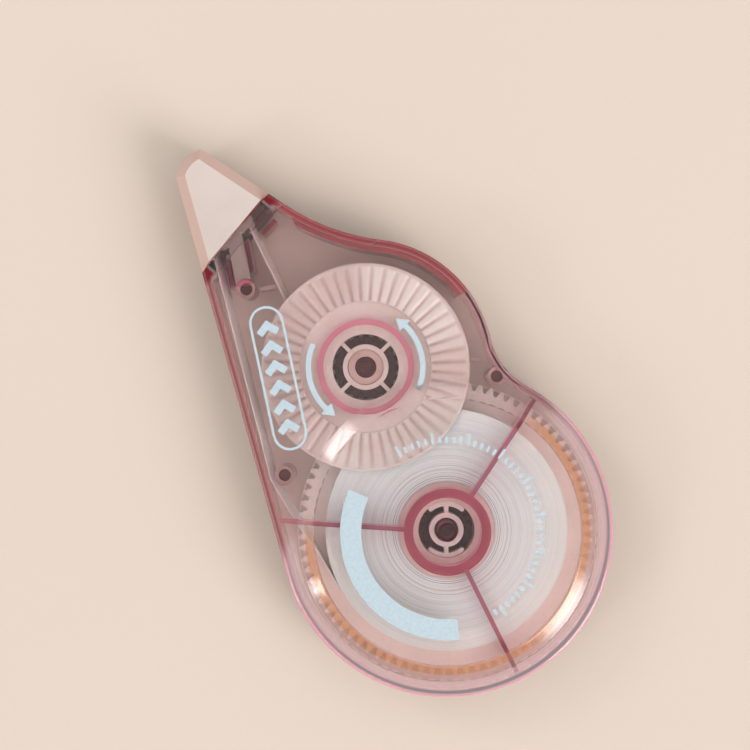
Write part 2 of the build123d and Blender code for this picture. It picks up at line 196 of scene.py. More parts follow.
deck_look = ((1.0, 0.95, 0.94, 1), 0.985)
window_look = ((1.0, 0.99, 0.985, 1), 0.997)
# Painted amber tint on the slope round the window, standing in for light bent through the slope.
slope_light_look = ((0.82, 0.5, 0.3, 1), 0.91)
band_look = ((0.95, 0.82, 0.84, 1), 0.84)
rim_look = ((0.88, 0.45, 0.52, 1), 0.6)
side_look = ((0.97, 0.8, 0.82, 1), 0.93)
joint_look = ((0.93, 0.66, 0.69, 1), 0.4)
rib_look = ((0.92, 0.4, 0.53, 1), 0.42)
channel_look = ((0.92, 0.4, 0.53, 1), 0.4)
corner_look = ((0.28, 0.02, 0.025, 1), 0.6)
right_wall_look = ((0.56, 0.13, 0.14, 1), 0.76)
left_wall_look = ((0.6, 0.26, 0.25, 1), 0.78)
back_look = ((0.99, 0.93, 0.92, 1), 0.95)
floor_look = ((0.99, 0.86, 0.77, 1), 0.25)
boss_look = ((0.95, 0.78, 0.7, 1), 0.35)
tongue_wall_look = ((0.6, 0.12, 0.13, 1), 0.6)
tongue_top_look = ((0.6, 0.12, 0.13, 1), 0.4)
post_look = ((0.4, 0.08, 0.08, 1), 0.7)
front_absorption = (0.7, 0.05, 0.12, 1)
back_absorption = (0.7, 0.05, 0.1, 1)
absorption_per_metre = 55.0
uneven_share = 0.96
grain_share = 0.01

# Limits on how level a face is: 1 for a level face, 0 for an upright one.
edge_on_start = 0.75
edge_on_full = 0.35
flat_start = 0.5
flat_full = 0.7
bevel_start = 0.97
bevel_full = 0.8

# ---- Node helpers ----


class Shader:
    """A material with a Principled shader, and short calls that add the nodes which drive it."""

    def __init__(self, name):
        self.material = bpy.data.materials.new(name)
        self.material.use_nodes = True
        self.tree = self.material.node_tree
        self.surface = self.tree.nodes["Principled BSDF"]
        self.output = self.tree.nodes["Material Output"]
        self.place = self.tree.nodes.new("ShaderNodeTexCoord")

    def node(self, kind, inputs=(), **settings):
        """A node whose inputs, by name or number, take values or the output sockets of other nodes."""
        made = self.tree.nodes.new(kind)
        for name, value in settings.items():
            setattr(made, name, value)
        for key, value in dict(inputs).items():
            self.feed(made.inputs[key], value)
        return made

    def feed(self, socket, value):
        """Links an output socket to an input, or sets the input's value."""
        if isinstance(value, bpy.types.NodeSocket):
            self.tree.links.new(value, socket)
        else:
            socket.default_value = value

    def maths(self, operation, first, second=0.0):
        return self.node("ShaderNodeMath", {0: first, 1: second}, operation=operation).outputs[0]

    def step(self, value, start, end, low=0.0, high=1.0):
        """A smooth step from low to high as value goes from start to end."""
        inputs = {"Value": value, "From Min": start, "From Max": end, "To Min": low, "To Max": high}
        return self.node("ShaderNodeMapRange", inputs, interpolation_type="SMOOTHSTEP").outputs[0]

    def between(self, value, start, end, soft):
        """1 where value lies between start and end, with soft edges."""
        return self.both(
            self.step(value, start - soft, start + soft),
            self.step(value, end + soft, end - soft),
        )

    def both(self, *masks):
        """1 where every mask is 1."""
        whole = masks[0]
        for mask in masks[1:]:
            whole = self.maths("MULTIPLY", whole, mask)
        return whole

    def either(self, *masks):
        """1 where any mask is 1."""
        whole = masks[0]
        for mask in masks[1:]:
            whole = self.maths("MAXIMUM", whole, mask)
        return whole

    def blend(self, share, first, second):
        """A number between two others."""
        return self.node("ShaderNodeMix", {0: share, 2: first, 3: second}, data_type="FLOAT").outputs[0]

    def noise(self, scale, detail=2.0, vector=None, distortion=0.0):
        inputs = {"Scale": scale, "Detail": detail, "Distortion": distortion}
        inputs["Vector"] = vector or self.place.outputs["Object"]
        return self.node("ShaderNodeTexNoise", inputs).outputs["Fac"]

    def mix(self, share, first, second):
        """A colour between two others."""
        made = self.node("ShaderNodeMix", {0: share, 6: first, 7: second}, data_type="RGBA")
        return made.outputs[2]

    def axes(self, socket=None):
        """The three parts of a vector, object coordinates by default."""
        made = self.node("ShaderNodeSeparateXYZ", {0: socket or self.place.outputs["Object"]})
        return made.outputs

    def radius(self, centre):
        """Distance from a vertical axis, in metres."""
        x, y, _ = self.axes()
        across = self.maths("SUBTRACT", x, centre.x)
        along = self.maths("SUBTRACT", y, centre.y)
        squares = self.maths("ADD", self.maths("POWER", across, 2.0), self.maths("POWER", along, 2.0))
        return self.maths("SQRT", squares)

    def bump(self, height, strength, distance):
        inputs = {"Height": height, "Strength": strength, "Distance": distance}
        self.feed(self.surface.inputs["Normal"], self.node("ShaderNodeBump", inputs).outputs[0])

    def set(self, **values):
        for name, value in values.items():
            self.feed(self.surface.inputs[name.replace("_", " ")], value)


def colour(red, green, blue):
    """A linear colour from display values between 0 and 255."""
    parts = [c / 255 for c in (red, green, blue)]
    linear = [c / 12.92 if c <= 0.04045 else ((c + 0.055) / 1.055) ** 2.4 for c in parts]
    return (*linear, 1.0)


def clear_plastic(name, zones, absorption):
    """Clear pink plastic with a slight haze; each zone is (mask, look), and later ones lie on top."""
    shader = Shader(name)
    clouds = shader.noise(scale=90.0, detail=3.0)
    tint, clearness = None, None
    for mask, (zone_tint, zone_clearness) in zones(shader):
        uneven = tuple(part * uneven_share for part in zone_tint[:3]) + (1,)
        shade = shader.mix(clouds, zone_tint, uneven)
        if tint is None:
            tint, clearness = shade, zone_clearness
        else:
            tint = shader.mix(mask, tint, shade)
            clearness = shader.blend(mask, clearness, zone_clearness)
    shader.set(
        Base_Color=tint,
        Transmission_Weight=clearness,
        IOR=1.5,
        Roughness=shader.step(shader.noise(scale=700.0, detail=4.0), 0.35, 0.75, low=0.01, high=0.04),
    )
    flow = shader.noise(scale=45.0, detail=2.0, distortion=0.6)
    grain = shader.noise(scale=2600.0, detail=2.0)
    relief = shader.maths("ADD", flow, shader.maths("MULTIPLY", grain, grain_share))
    shader.bump(relief, strength=0.25, distance=0.0002)
    inputs = {"Color": absorption, "Density": absorption_per_metre}
    absorb = shader.node("ShaderNodeVolumeAbsorption", inputs)
    shader.feed(shader.output.inputs["Volume"], absorb.outputs[0])
    return shader.material


class CaseMasks:
    """Masks that both halves of the case share, from places and face directions."""

    def __init__(self, shader):
        self.shader = shader
        self.x, self.y, self.z = shader.axes()
        self.facing = shader.axes(shader.place.outputs["Normal"])[2]
        self.from_supply = shader.radius(supply_axis)
        self.from_take_up = shader.radius(take_up_axis)
        level = shader.maths("ABSOLUTE", self.facing)
        self.edge_on = shader.step(level, edge_on_start, edge_on_full)
        self.flat = shader.step(level, flat_start, flat_full)
        self.joint = self.level_face(parting_low, parting_high)
        self.inside = shader.either(
            shader.step(self.from_supply, supply_inside_radius, supply_inside_radius - inside_blur),
            shader.step(self.from_take_up, lobe_inside_radius, lobe_inside_radius - inside_blur),
        )
        self.outer_band = self.lower_ring(band_start_radius, band_full_radius)
        self.rim = self.lower_ring(rim_start_radius, rim_full_radius)
        self.mask_neck()
        self.mask_walls()

    def level_face(self, low, high):
        """Level faces between two heights."""
        return self.shader.both(self.shader.between(self.z, low, high, face_blur), self.flat)

    def lower_ring(self, start, full):
        """The round base beyond a radius, away from the take-up end."""
        lower = self.shader.step(self.y, ring_end_y, ring_full_y)
        return self.shader.both(lower, self.shader.step(self.from_supply, start, full))

    def distance_along(self, start, direction):
        """Distance of a point from a start, measured along a level direction."""
        shader = self.shader
        across = shader.maths("MULTIPLY", shader.maths("SUBTRACT", self.x, start.x), direction.x)
        along = shader.maths("MULTIPLY", shader.maths("SUBTRACT", self.y, start.y), direction.y)
        return shader.maths("ADD", across, along)

    def mask_neck(self):
        """The corners beside the neck, the space behind it, and the channel of the head's stem."""
        shader = self.shader
        along_tip = self.distance_along(neck_middle, tip_direction)
        across_tip = shader.maths("ABSOLUTE", self.distance_along(neck_middle, neck_direction))
        self.neck_corner = shader.both(
            shader.step(along_tip, corner_start, corner_full),
            shader.step(across_tip, corner_inner, corner_outer),
        )
        self.behind_neck = shader.step(along_tip, neck_end_start, neck_end_full)
        from_channel = shader.radius(channel_centre)
        near_channel = shader.step(from_channel, channel_reach, channel_reach - 0.3 * MM)
        above_floor = shader.between(self.z, channel_low, rib_high, face_blur)
        self.channel = shader.both(near_channel, above_floor, self.behind_neck)

    def mask_walls(self):
        """The right wall above the tongue's end, the left wall, and the tongue itself."""
        shader = self.shader
        on_slope = shader.both(
            self.wall_band(self.distance_along(slope_start, slope_inwards)),
            shader.step(self.y, shoulder_high, shoulder_high + 0.3 * MM),
        )
        on_shoulder = shader.both(
            self.wall_band(shader.maths("SUBTRACT", shader.radius(shoulder_centre), shoulder_radius)),
            shader.between(self.y, shoulder_low, shoulder_high, 0.2 * MM),
        )
        on_lobe = shader.both(
            self.wall_band(shader.maths("SUBTRACT", lobe_radius, self.from_take_up)),
            shader.step(self.x, lobe_wall_left, lobe_wall_left + 0.5 * MM),
            shader.between(self.y, tongue_end_height, shoulder_low, 0.2 * MM),
        )
        self.right_wall = shader.either(on_slope, on_shoulder, on_lobe)
        self.left_wall = shader.both(
            self.wall_band(self.distance_along(side_start, side_inwards)),
            shader.step(self.y, left_wall_end_y, left_wall_full_y),
        )
        self.tongue_wall = shader.both(
            shader.step(self.y, tongue_end_height, tongue_end_height + 0.3 * MM),
            shader.step(self.x, tongue_left - tongue_blur, tongue_left),
            shader.step(self.from_take_up, tongue_from_take_up - tongue_blur, tongue_from_take_up),
            shader.either(self.edge_on, self.joint),
            shader.maths("SUBTRACT", 1.0, self.right_wall),
        )

    def wall_band(self, distance):
        """1 within the wall's thickness of the outline."""
        return self.shader.between(distance, -wall_reach, wall, wall_blur)


def front_zones(shader):
    """Clear window over the roll, a painted amber tint on the slope round it that stands in for light bent
    through the slope, red upper walls, magenta ribs and rings.
    """
    masks = CaseMasks(shader)
    window = shader.step(masks.from_supply, window_start_radius, window_full_radius)
    raised = shader.step(masks.z, raised_start, raised_full)
    # Painted amber light on the slope, faded out over the take-up end.
    painted_slope_light = shader.both(
        shader.between(masks.from_supply, slope_band_start, slope_band_end, slope_band_blur),
        raised,
        shader.step(masks.y, slope_end_y, slope_full_y),
    )
    ribs = shader.both(
        shader.either(
            masks.level_face(rib_low, rib_high),
            shader.both(masks.edge_on, masks.inside),
            masks.level_face(skirt_low, skirt_high),
        ),
        masks.behind_neck,
    )
    return [
        (None, deck_look),
        (window, window_look),
        (painted_slope_light, slope_light_look),
        (shader.both(masks.outer_band, raised), band_look),
        (masks.edge_on, side_look),
        (shader.both(masks.rim, raised), rim_look),
        (shader.both(masks.right_wall, raised), right_wall_look),
        (shader.both(masks.left_wall, raised), left_wall_look),
        (masks.joint, joint_look),
        (ribs, rib_look),
        (masks.channel, channel_look),
        (masks.tongue_wall, tongue_wall_look),
        (shader.both(masks.neck_corner, raised), corner_look),
    ]


def back_zones(shader):
    """A hazy floor inside clear walls, with pale boss tops, a dark red tongue and dark axle posts."""
    masks = CaseMasks(shader)
    inner_floor = masks.level_face(floor_face_low, floor_face_high)
    boss_top = shader.both(
        shader.between(masks.z, boss_top_low, boss_top_high, 0.05 * MM),
        shader.step(masks.facing, flat_start, flat_full),
    )
    tongue = shader.step(masks.z, tongue_top - tongue_blur, tongue_top)
    post = shader.either(
        shader.step(masks.from_supply, post_radius + face_blur, post_radius),
        shader.step(masks.from_take_up, post_radius + face_blur, post_radius),
    )
    return [
        (None, back_look),
        (inner_floor, floor_look),
        (masks.edge_on, side_look),
        (masks.joint, joint_look),
        (boss_top, boss_look),
        (masks.channel, channel_look),
        (masks.tongue_wall, tongue_wall_look),
        (tongue, tongue_top_look),
        (post, post_look),
    ]


def moulded(name, light, dark, painted_light=(), roughness=0.3, subsurface=0.2, coat=0.0):
    """Opaque moulded plastic: faint clouding, a fine orange-peel surface and softly lit edges, with
    painted shade and painted highlights laid on through masks.
    """
    shader = Shader(name)
    clouds = shader.noise(scale=160.0, detail=4.0)
    flow = shader.noise(scale=35.0, detail=2.0, distortion=1.0)
    halves = [shader.maths("MULTIPLY", part, 0.5) for part in (clouds, flow)]
    shade = shader.maths("ADD", *halves)
    gloss = shader.noise(scale=1400.0, detail=3.0)
    tint = shader.mix(shader.step(shade, 0.35, 0.65), light, dark)
    # Painted shade and painted highlights, one mask at a time.
    for mask, mask_tint in painted_light:
        tint = shader.mix(mask(shader), tint, mask_tint)
    shader.set(
        Base_Color=tint,
        Roughness=shader.step(gloss, 0.3, 0.7, low=roughness - 0.05, high=roughness + 0.07),
        Subsurface_Weight=subsurface,
        Subsurface_Scale=0.0015,
        Subsurface_Radius=(1.0, 0.55, 0.45),
        Specular_IOR_Level=0.45,
        Coat_Weight=coat,
        Coat_Roughness=0.12,
    )
    peel = shader.noise(scale=2200.0, detail=3.0)
    shader.bump(shader.maths("ADD", peel, flow), strength=0.12, distance=0.00012)
    return shader.material


def bevel_shade_mask(shader):
    """Sides and bevels, as against the frosted flat faces: a painted shade darkens the faces that turn
    away from the light.
    """
    facing = shader.axes(shader.place.outputs["Normal"])[2]
    return shader.step(shader.maths("ABSOLUTE", facing), bevel_start, bevel_full)


def well_shade_mask(shader):
    """Painted shade deep inside the wells round the two axles, where little light reaches."""
    near = []
    for axis, radius in ((supply_axis, core_bore_radius), (take_up_axis, drum_inner_radius)):
        near.append(shader.step(shader.radius(axis), radius + face_blur, radius - face_blur))
    deep = shader.step(shader.axes()[2], well_start, well_full)
    return shader.both(deep, shader.either(*near))


def painted_flute_sheen(shader):
    """Where a pale sheen of the window is painted on the flutes' ridges, in place of its reflection."""
    x, y, _ = shader.axes()
    across = shader.maths("SUBTRACT", x, take_up_axis.x)
    along = shader.maths("SUBTRACT", y, take_up_axis.y)
    ahead = shader.maths(
        "ADD",
        shader.maths("MULTIPLY", across, math.cos(sheen_angle)),
        shader.maths("MULTIPLY", along, math.sin(sheen_angle)),
    )
    radius = shader.radius(take_up_axis)
    share = shader.maths("DIVIDE", ahead, radius)
    return shader.both(
        shader.step(share, math.cos(sheen_end_angle), math.cos(sheen_half_angle)),
        shader.between(radius, flute_start + flute_blur, flange_rim - 0.7 * MM, flute_blur),
    )


def flute_valley_shade(shader):
    """Painted shade in the valleys of the fluted disc, fading towards the rim."""
    x, y, _ = shader.axes()
    across = shader.maths("SUBTRACT", x, take_up_axis.x)
    along = shader.maths("SUBTRACT", y, take_up_axis.y)
    turn = shader.maths("MULTIPLY", shader.maths("ARCTAN2", along, across), float(flute_count))
    wave = shader.maths("MULTIPLY", shader.maths("ADD", shader.maths("COSINE", turn), 1.0), 0.5)
    valley = shader.maths("POWER", wave, 3.0)
    radius = shader.radius(take_up_axis)
    flute_end = flange_rim - rim_width - 0.4 * MM
    fluted = shader.between(radius, flute_start + flute_blur, flute_end, flute_blur)
    fading = shader.step(radius, flange_rim, flute_start, low=0.35, high=0.75)
    return shader.both(valley, fluted, fading)


def wound_tape():
    """The edge of a wound roll: fine turns of white tape with thin grey gaps, closer near the core."""
    shader = Shader("wound_tape")
    radius = shader.radius(supply_axis)
    turns = shader.node("ShaderNodeCombineXYZ", {0: radius}).outputs[0]
    fine = shader.noise(scale=5200.0, detail=2.0, vector=turns)
    broad = shader.noise(scale=900.0, detail=3.0, vector=turns)
    inward = shader.step(radius, gaps_faint_radius, gaps_full_radius, low=0.25, high=1.0)
    line = shader.maths("MULTIPLY", shader.step(fine, 0.52, 0.66), inward)
    band = shader.maths("MULTIPLY", shader.step(broad, 0.5, 0.7), inward)
    white = shader.mix(shader.noise(scale=120.0, detail=3.0), colour(246, 255, 255), colour(238, 248, 248))
    banded = shader.mix(shader.maths("MULTIPLY", band, 0.6), white, colour(196, 184, 178))
    shader.set(
        Base_Color=shader.mix(line, banded, colour(112, 98, 95)),
        Roughness=shader.step(broad, 0.3, 0.7, low=0.42, high=0.6),
        Subsurface_Weight=0.08,
        Subsurface_Scale=0.001,
    )
    shader.bump(shader.maths("ADD", fine, broad), strength=0.35, distance=0.00008)
    return shader.material


def streaks(shader, scale, stretch):
    """Noise drawn out along a run of tape."""
    x, y, z = shader.axes()
    stretched = shader.maths("MULTIPLY", z, stretch)
    drawn_out = shader.node("ShaderNodeCombineXYZ", {0: x, 1: y, 2: stretched}).outputs[0]
    return shader.noise(scale, detail=3.0, vector=drawn_out)


def coated_tape():
    """White correction coating on its backing film: matt, with a faint streak along the tape."""
    shader = Shader("coated_tape")
    streak = streaks(shader, scale=300.0, stretch=14.0)
    shader.set(
        Base_Color=shader.mix(streak, colour(253, 252, 250), colour(240, 237, 233)),
        Roughness=shader.step(streak, 0.3, 0.7, low=0.42, high=0.58),
    )
    shader.bump(streak, strength=0.2, distance=0.00005)
    return shader.material


def used_film():
    """Used backing film: thin, milky and slightly glossy."""
    shader = Shader("used_film")
    streak = streaks(shader, scale=420.0, stretch=10.0)
    shader.set(
        Base_Color=shader.mix(streak, colour(250, 246, 242), colour(232, 224, 219)),
        Roughness=shader.step(streak, 0.3, 0.7, low=0.22, high=0.36),
        Alpha=shader.step(streak, 0.2, 0.8, low=0.82, high=0.95),
    )
    return shader.material


def printed_ink():
    """Pale blue screen-printed ink with a slightly uneven coat."""
    shader = Shader("printed_ink")
    coat = shader.noise(scale=1500.0, detail=4.0)
    shader.set(
        Base_Color=shader.mix(shader.step(coat, 0.3, 0.7), colour(154, 168, 176), colour(145, 160, 168)),
        Roughness=shader.step(coat, 0.3, 0.7, low=0.5, high=0.62),
    )
    shader.bump(coat, strength=0.1, distance=0.00003)
    return shader.material


def floor_card():
    """Pale warm card with a barely visible paper grain."""
    shader = Shader("floor_card")
    fibre = shader.noise(scale=900.0, detail=4.0)
    broad = shader.noise(scale=6.0, detail=2.0)
    fine_part = shader.maths("MULTIPLY", fibre, 0.3)
    broad_part = shader.maths("MULTIPLY", broad, 0.7)
    tone = shader.maths("ADD", fine_part, broad_part)
    shader.set(
        Base_Color=shader.mix(tone, colour(180, 168, 157), colour(175, 162, 151)),
        Roughness=0.7,
        Specular_IOR_Level=0.25,
    )
    shader.bump(fibre, strength=0.08, distance=0.0001)
    return shader.material


def assign(obj, material):
    """Puts one material in every slot of an object."""
    if not obj.material_slots:
        obj.data.materials.append(material)
    for place in obj.material_slots:
        place.material = material


# ---- Mesh helpers ----

mitre_limit = 0.3


def new_piece(name, shape, material, body, smooth_angle=35.0):
    """An object made from a bmesh that rides on a body."""
    mesh = bpy.data.meshes.new(name)
    bmesh.ops.recalc_face_normals(shape, faces=shape.faces)
    shape.to_mesh(mesh)
    shape.free()
    mesh.shade_smooth()
    mesh.set_sharp_from_angle(angle=math.radians(smooth_angle))
    piece = bpy.data.objects.new(name, mesh)
    bpy.context.scene.collection.objects.link(piece)
    mesh.materials.append(material)
    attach(piece, body)
    return piece


def lathe(profile, centre, segments, wave=None):
    """A closed ring turned from a loop of (radius, height) points, which wave(radius, angle) may lift."""
    shape = bmesh.new()
    loops = []
    for step in range(segments):
        angle = 2 * math.pi * step / segments
        loop = []
        for radius, height in profile:
            lift = wave(radius, angle) if wave else 0.0
            x = centre.x + radius * math.cos(angle)
            y = centre.y + radius * math.sin(angle)
            loop.append(shape.verts.new((x, y, height + lift)))
        loops.append(loop)
    for step in range(segments):
        here, there = loops[step], loops[(step + 1) % segments]
        for point in range(len(profile)):
            after = (point + 1) % len(profile)
            shape.faces.new((here[point], there[point], there[after], here[after]))
    return shape


def plate(outline, low, high):
    """A flat closed plate between two heights, from an outline of (x, y) points."""
    shape = bmesh.new()
    bottom = [shape.verts.new((x, y, low)) for x, y in outline]
    top = [shape.verts.new((x, y, high)) for x, y in outline]
    shape.faces.new(list(reversed(bottom)))
    shape.faces.new(top)
    for i in range(len(outline)):
        j = (i + 1) % len(outline)
        shape.faces.new((bottom[i], bottom[j], top[j], top[i]))
    return shape


def polar(centre, radius, angle):
    """The (x, y) point at a radius and angle, in radians, from a centre."""
    return (centre.x + radius * math.cos(angle), centre.y + radius * math.sin(angle))


def eased_ring(inner, outer, low, high, ease=0.12 * MM):
    """Profile of a ring with softened corners at its upper face."""
    top = [(outer, high - ease), (outer - ease, high), (inner + ease, high), (inner, high - ease)]
    return [(inner, low), (outer, low)] + top


def strip(path, width, low, high, closed=False):
    """A flat closed plate of even width along a path of (x, y) points, with mitred corners."""
    points = [Vector(point) for point in path]
    count = len(points)
    left, right = [], []
    for i, point in enumerate(points):
        before = points[i - 1] if closed or i else None
        after = points[(i + 1) % count] if closed or i < count - 1 else None
        ahead = (after - point).normalized() if after else (point - before).normalized()
        behind = (point - before).normalized() if before else ahead
        normal = Vector((-(ahead + behind).y, (ahead + behind).x)).normalized()
        reach = width / 2 / max(normal.dot(Vector((-ahead.y, ahead.x))), mitre_limit)
        left.append(point + normal * reach)
        right.append(point - normal * reach)
    shape = bmesh.new()
    rows = [[shape.verts.new((point.x, point.y, z)) for point in edge]
            for edge, z in ((left, high), (right, high), (right, low), (left, low))]
    for i in range(count if closed else count - 1):
        j = (i + 1) % count
        for k in range(4):
            here, there = rows[k], rows[(k + 1) % 4]
            shape.faces.new((here[i], here[j], there[j], there[i]))
    if not closed:
        for i in (0, count - 1):
            shape.faces.new([row[i] for row in rows])
    return shape


def merged(shapes):
    """Several bmeshes as one."""
    whole = bmesh.new()
    for shape in shapes:
        mesh = bpy.data.meshes.new("part")
        shape.to_mesh(mesh)
        shape.free()
        whole.from_mesh(mesh)
        bpy.data.meshes.remove(mesh)
    return whole


def united(shapes):
    """Several closed bmeshes joined into one closed skin."""
    objects = []
    for shape in shapes:
        bmesh.ops.recalc_face_normals(shape, faces=shape.faces)
        mesh = bpy.data.meshes.new("part")
        shape.to_mesh(mesh)
        shape.free()
        objects.append(bpy.data.objects.new("part", mesh))
        bpy.context.scene.collection.objects.link(objects[-1])
    base = objects[0]
    for other in objects[1:]:
        join = base.modifiers.new("join", "BOOLEAN")
        join.operation = "UNION"
        join.solver = "EXACT"
        join.object = other
    bpy.context.view_layer.update()
    whole = bmesh.new()
    whole.from_object(base, bpy.context.evaluated_depsgraph_get())
    for obj in objects:
        mesh = obj.data
        bpy.data.objects.remove(obj)
        bpy.data.meshes.remove(mesh)
    return whole


# ---- Materials on the imported parts ----

# Painted shade: dark brown deep inside the wells round the axles, where little light reaches.
well_shade_colour = colour(98, 32, 24)
front_plastic = clear_plastic("clear_pink_front", front_zones, front_absorption)
back_plastic = clear_plastic("clear_pink_back", back_zones, back_absorption)
cap_plastic = moulded(
    "cap_pink",
    colour(173, 161, 155),
    colour(168, 156, 150),
    # Painted shade on the cap's bevels and sides, which face away from the light.
    [(bevel_shade_mask, colour(175, 148, 138))],
    roughness=0.34,
    subsurface=0.12,
)
reel_plastic = moulded(
    "reel_pink",
    colour(232, 210, 202),
    colour(223, 199, 191),
    [(well_shade_mask, well_shade_colour)],
)
# A painted-light copy of the reel plastic: the gear is made lighter to offset the shade it gets under the
# roll and the front cover.
lightened_gear_plastic = moulded(
    "reel_pink_gear_lightened",
    colour(248, 238, 233),
    colour(241, 229, 223),
    [(well_shade_mask, well_shade_colour)],
)
flute_plastic = moulded(
    "reel_pink_fluted",
    colour(234, 225, 220),
    colour(226, 214, 208),
    # Painted reflection of the window on the ridges, painted shade in the flute valleys and painted shade
    # deep in the wells.
    [(painted_flute_sheen, colour(250, 250, 244)), (flute_valley_shade, colour(186, 156, 146)), (well_shade_mask, well_shade_colour)],
    coat=0.6,
)
assign(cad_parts["front_cover"], front_plastic)
assign(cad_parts["back_cover"], back_plastic)
for name in ("tip_cap", "applicator_head"):
    assign(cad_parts[name], cap_plastic)
for name in ("tape_core", "take_up_pinion"):
    assign(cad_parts[name], reel_plastic)
assign(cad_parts["supply_gear"], lightened_gear_plastic)
white_tape = coated_tape()
backing_film = used_film()

# ---- The wound roll and the winding on the take-up drum ----

wound_depth = {"tape_roll": 15.0 * MM, "take_up_winding": 0.25 * MM}
winding_seed = 7
band_share = 0.82
step_run = 0.006 * MM


def make_winding(node, name, body, material, bands, segments, step_depth):
    """A wound ring of tape whose bands of turns stand a hair higher or lower than the next."""
    low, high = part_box(node)
    centre = middle(node)
    outer = half_width(node)
    inner = outer - wound_depth[node]
    spread = random.Random(winding_seed)
    profile = [(inner, low.z), (outer, low.z)]
    for band in range(bands):
        start = outer - (outer - inner) * band / bands
        end = outer - (outer - inner) * (band + band_share) / bands
        top = high.z - spread.uniform(0.0, 1.0) * step_depth
        profile += [(start, top), (end, top), (end - step_run, top - step_depth)]
    piece = new_piece(name, lathe(profile, centre, segments), material, body, smooth_angle=60.0)
    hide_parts(node)


make_winding(
    "tape_roll",
    "wound_roll",
    "supply_roll",
    wound_tape(),
    bands=72,
    segments=180,
    step_depth=0.05 * MM,
)
make_winding(
    "take_up_winding",
    "wound_film",
    "take_up_reel",
    backing_film,
    bands=5,
    segments=96,
    step_depth=0.03 * MM,
)

# ---- Shape of the fluted take-up reel ----


def smooth(value, start, end):
    """0 before start and 1 after end, with a smooth step between."""
    share = min(max((value - start) / (end - start), 0.0), 1.0)
    return share * share * (3 - 2 * share)


def flute_wave(radius, angle):
    """How far a point of the disc sinks: narrow valleys between broad rounded ridges."""
    valley = (0.5 + 0.5 * math.cos(flute_count * angle)) ** flute_sharpness
    start = smooth(radius, flute_start + 0.02 * MM, flute_start + flute_run_out)
    end = 1.0 - smooth(radius, flange_rim - rim_width - flute_run_out, flange_rim - rim_width)
    return -flute_depth * valley * start * end


def make_flange():
    """The take-up drum with its wide fluted disc, hub ring and spokes, as one closed mesh."""
    low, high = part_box("take_up_flange")
    flat = high.z - disc_step
    inner, outer = flute_start + disc_edge_ease, flange_rim - disc_rim_ease
    run = [inner + (outer - inner) * i / disc_steps for i in range(disc_steps + 1)]
    profile = [(drum_inner_radius, low.z), (drum_outer_radius, low.z)]
    profile += [(drum_outer_radius, flat - disc_thickness), (flute_start, flat - disc_thickness)]
    profile += [(radius, high.z - disc_thickness) for radius in run]
    profile += [(flange_rim, high.z - disc_thickness + corner_ease), (flange_rim, high.z - disc_edge_ease)]
    profile += [(radius, high.z) for radius in reversed(run)]
    profile += [(flute_start, flat + step_foot_height), (flute_start - step_foot_run, flat)]
    profile += [(drum_inner_radius + corner_ease, flat), (drum_inner_radius, flat - corner_ease)]
    disc = lathe(profile, take_up_axis, flute_count * flute_steps, wave=flute_wave)
    hub_top = high.z - hub_drop
    ring = eased_ring(hub_inner_radius, hub_outer_radius, low.z, hub_top)
    hub = lathe(ring, take_up_axis, segments=96)
    spokes = []
    for spoke in range(spoke_count):
        turn = spoke_angle + spoke * 2 * math.pi / spoke_count
        start, end = hub_outer_radius - spoke_overlap, drum_inner_radius + spoke_overlap
        path = [polar(take_up_axis, start, turn), polar(take_up_axis, end, turn)]
        spokes.append(strip(path, spoke_width, hub_top - spoke_depth, hub_top - spoke_drop))
    whole = united([disc, hub] + spokes)
    piece = new_piece("fluted_flange", whole, flute_plastic, "take_up_reel")
    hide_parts("take_up_flange")


make_flange()

# ---- Tape running past the guide boss and back to the drum ----

lean_from = 8.0 * MM
lean_full = 18.0 * MM
lean_fading = 72.0 * MM
lean_gone = 80.0 * MM
tape_lean = 1.1 * MM
lean_curve = 1.5
lean_middle = 0.15
tape_rows = 8
tape_columns = 24


def make_ribbon(node, name, material, direction):
    """A run of tape, cut into a grid, that leans outwards a little towards its upper edge."""
    low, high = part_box(node)
    shape = bmesh.new()
    shape.from_mesh(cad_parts[node].data)
    for axis, parts in ((1, tape_columns), (2, tape_rows)):
        normal = Vector((0, 0, 0))
        normal[axis] = 1
        for part in range(1, parts):
            place = low + (high - low) * part / parts
            geometry = shape.verts[:] + shape.edges[:] + shape.faces[:]
            bmesh.ops.bisect_plane(shape, geom=geometry, plane_co=place, plane_no=normal)
    for vert in shape.verts:
        share = (vert.co.z - low.z) / (high.z - low.z)
        rising = smooth(vert.co.y, lean_from, lean_full)
        fading = 1.0 - smooth(vert.co.y, lean_fading, lean_gone)
        vert.co += direction * tape_lean * rising * fading * (share**lean_curve - lean_middle)
    piece = new_piece(name, shape, material, "case", smooth_angle=40.0)
    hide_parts(node)


make_ribbon("feed_tape", "feed_ribbon", white_tape, Vector((-0.96, 0.2, 0)))
make_ribbon("return_tape", "return_ribbon", backing_film, Vector((-1, 0, 0)))

# ---- Printed marks: plain shapes in pale blue ink on the front cover ----

